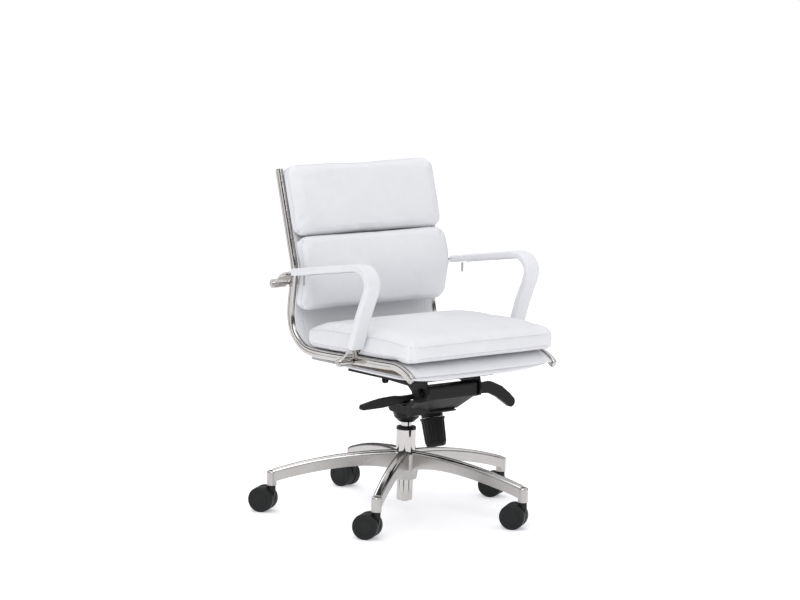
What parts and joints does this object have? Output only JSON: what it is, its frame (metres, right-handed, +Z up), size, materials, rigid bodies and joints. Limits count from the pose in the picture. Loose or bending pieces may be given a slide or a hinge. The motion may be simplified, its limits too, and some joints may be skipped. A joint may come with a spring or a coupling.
{
  "type": "swivel office chair",
  "caption": "Swivel office chair with chrome side ribs, soft leather pads, looped arms, a gas-sprung column, knee-tilt mechanism and a star base on castors.",
  "frame": {"origin": "on the floor under the column's axis", "axes": "+Z up along the column; the sitter faces -Y; X across the seat"},
  "size_m": [0.6859, 0.716, 0.8671],
  "materials": {
    "polished_aluminium": "polished",
    "chrome": "mirror polished",
    "zinc_steel": "zinc plated",
    "black_plastic": "fine texture",
    "black_steel": "satin powder coat",
    "castor_plastic": "matt",
    "plywood": "raw",
    "white_leather": "fine grain, semi-matt"
  },
  "bodies": {
    "base": {"star_base": "polished_aluminium", "stand_tube": "chrome", "guide_bush": "black_plastic", "thrust_bearing": "zinc_steel"},
    "piston": {"piston_rod": "zinc_steel"},
    "mechanism": {"gas_cylinder": "chrome", "tilt_housing": "black_steel", "pivot_pin": "black_steel", "tension_spring": "zinc_steel"},
    "release_button": {"release_button": "black_plastic"},
    "height_lever": {"height_lever": "black_plastic"},
    "lock_lever": {"lock_lever": "black_plastic"},
    "tension_knob": {"tension_knob": "black_plastic"},
    "seat": {"seat_plate": "black_steel", "plate_bolt_1": "zinc_steel", "plate_bolt_2": "zinc_steel", "plate_bolt_3": "zinc_steel", "plate_bolt_4": "zinc_steel", "seat_board": "plywood", "seat_base_cover": "white_leather", "sling": "white_leather", "rear_rod": "chrome", "rib_left": "chrome", "rib_right": "chrome", "front_rod_left": "chrome", "front_rod_right": "chrome", "arm_bar_left": "chrome", "arm_bar_right": "chrome", "arm_sleeve_left": "white_leather", "arm_sleeve_right": "white_leather", "upper_pad": "white_leather", "lower_pad": "white_leather", "seat_pad": "white_leather"},
    "zip_pull_left": {"zip_pull_left": "zinc_steel"},
    "zip_pull_right": {"zip_pull_right": "zinc_steel"},
    "castor_a": {"castor_housing_a": "castor_plastic", "castor_stem_a": "zinc_steel", "castor_axle_a": "zinc_steel"},
    "wheel_left_a": {"castor_wheel_left_a": "castor_plastic"},
    "wheel_right_a": {"castor_wheel_right_a": "castor_plastic"},
    "castor_b": {"castor_housing_b": "castor_plastic", "castor_stem_b": "zinc_steel", "castor_axle_b": "zinc_steel"},
    "wheel_left_b": {"castor_wheel_left_b": "castor_plastic"},
    "wheel_right_b": {"castor_wheel_right_b": "castor_plastic"},
    "castor_c": {"castor_housing_c": "castor_plastic", "castor_stem_c": "zinc_steel", "castor_axle_c": "zinc_steel"},
    "wheel_left_c": {"castor_wheel_left_c": "castor_plastic"},
    "wheel_right_c": {"castor_wheel_right_c": "castor_plastic"},
    "castor_d": {"castor_housing_d": "castor_plastic", "castor_stem_d": "zinc_steel", "castor_axle_d": "zinc_steel"},
    "wheel_left_d": {"castor_wheel_left_d": "castor_plastic"},
    "wheel_right_d": {"castor_wheel_right_d": "castor_plastic"},
    "castor_e": {"castor_housing_e": "castor_plastic", "castor_stem_e": "zinc_steel", "castor_axle_e": "zinc_steel"},
    "wheel_left_e": {"castor_wheel_left_e": "castor_plastic"},
    "wheel_right_e": {"castor_wheel_right_e": "castor_plastic"}
  },
  "joints": [
    {"name": "seat_swivel", "type": "hinge", "parent": "base", "child": "piston", "pos_m": [0, 0, 0.1], "axis": [0, 0, 1], "continuous": true},
    {"name": "height_adjust", "type": "slide", "parent": "piston", "child": "mechanism", "axis": [0, 0, 1], "range_m": [-0.009, 0.1]},
    {"name": "height_lever_lift", "type": "hinge", "parent": "mechanism", "child": "height_lever", "pos_m": [-0.031, -0.095, 0.316], "axis": [0, 1, 0], "range_deg": [0, 5]},
    {"name": "gas_release", "type": "slide", "parent": "mechanism", "child": "release_button", "axis": [0, 0, -1], "range_m": [0, 0.004], "stiffness_N_per_m": 150},
    {"name": "tilt_lock_turn", "type": "hinge", "parent": "mechanism", "child": "lock_lever", "pos_m": [0.1, -0.104, 0.319], "axis": [-1, 0, 0], "range_deg": [0, 30]},
    {"name": "tension_knob_turn", "type": "hinge", "parent": "mechanism", "child": "tension_knob", "pos_m": [0, -0.097, 0.258], "axis": [0, 0.2521, 0.9677], "range_deg": [-720, 720]},
    {"name": "seat_tilt", "type": "hinge", "parent": "mechanism", "child": "seat", "pos_m": [0, -0.151, 0.332], "axis": [-1, 0, 0], "range_deg": [0, 15], "stiffness_Nm_per_rad": 150, "springref_deg": -34.38},
    {"name": "zip_pull_swing_left", "type": "hinge", "parent": "seat", "child": "zip_pull_left", "pos_m": [-0.262, 0.099, 0.6045], "axis": [1, 0, 0], "range_deg": [-35, 35]},
    {"name": "zip_pull_swing_right", "type": "hinge", "parent": "seat", "child": "zip_pull_right", "pos_m": [0.262, 0.099, 0.6045], "axis": [1, 0, 0], "range_deg": [-35, 35]},
    {"name": "castor_swivel_a", "type": "hinge", "parent": "base", "child": "castor_a", "pos_m": [-0.27633, 0.19062, 0.08], "axis": [0, 0, 1], "continuous": true},
    {"name": "wheel_spin_left_a", "type": "hinge", "parent": "castor_a", "child": "wheel_left_a", "pos_m": [-0.28798, 0.20928, 0.032], "axis": [-0.848, -0.5299, 0], "continuous": true},
    {"name": "wheel_spin_right_a", "type": "hinge", "parent": "castor_a", "child": "wheel_right_a", "pos_m": [-0.28798, 0.20928, 0.032], "axis": [-0.848, -0.5299, 0], "continuous": true},
    {"name": "castor_swivel_b", "type": "hinge", "parent": "base", "child": "castor_b", "pos_m": [-0.26669, -0.2039, 0.08], "axis": [0, 0, 1], "continuous": true},
    {"name": "wheel_spin_left_b", "type": "hinge", "parent": "castor_b", "child": "wheel_left_b", "pos_m": [-0.27802, -0.18504, 0.032], "axis": [-0.8572, -0.515, 0], "continuous": true},
    {"name": "wheel_spin_right_b", "type": "hinge", "parent": "castor_b", "child": "wheel_right_b", "pos_m": [-0.27802, -0.18504, 0.032], "axis": [-0.8572, -0.515, 0], "continuous": true},
    {"name": "castor_swivel_c", "type": "hinge", "parent": "base", "child": "castor_c", "pos_m": [0.11151, -0.31664, 0.08], "axis": [0, 0, 1], "continuous": true},
    {"name": "wheel_spin_left_c", "type": "hinge", "parent": "castor_c", "child": "wheel_left_c", "pos_m": [0.09952, -0.29819, 0.032], "axis": [-0.8387, -0.5446, 0], "continuous": true},
    {"name": "wheel_spin_right_c", "type": "hinge", "parent": "castor_c", "child": "wheel_right_c", "pos_m": [0.09952, -0.29819, 0.032], "axis": [-0.8387, -0.5446, 0], "continuous": true},
    {"name": "castor_swivel_d", "type": "hinge", "parent": "base", "child": "castor_d", "pos_m": [0.3356, 0.0082, 0.08], "axis": [0, 0, 1], "continuous": true},
    {"name": "wheel_spin_left_d", "type": "hinge", "parent": "castor_d", "child": "wheel_left_d", "pos_m": [0.32527, 0.02763, 0.032], "axis": [-0.8829, -0.4695, 0], "continuous": true},
    {"name": "wheel_spin_right_d", "type": "hinge", "parent": "castor_d", "child": "wheel_right_d", "pos_m": [0.32527, 0.02763, 0.032], "axis": [-0.8829, -0.4695, 0], "continuous": true},
    {"name": "castor_swivel_e", "type": "hinge", "parent": "base", "child": "castor_e", "pos_m": [0.09591, 0.32171, 0.08], "axis": [0, 0, 1], "continuous": true},
    {"name": "wheel_spin_left_e", "type": "hinge", "parent": "castor_e", "child": "wheel_left_e", "pos_m": [0.09209, 0.34337, 0.032], "axis": [-0.9848, -0.1736, 0], "continuous": true},
    {"name": "wheel_spin_right_e", "type": "hinge", "parent": "castor_e", "child": "wheel_right_e", "pos_m": [0.09209, 0.34337, 0.032], "axis": [-0.9848, -0.1736, 0], "continuous": true}
  ],
  "couplings": [
    {"joint": "gas_release", "follows": "height_lever_lift", "m_per_rad": 0.036}
  ]
}
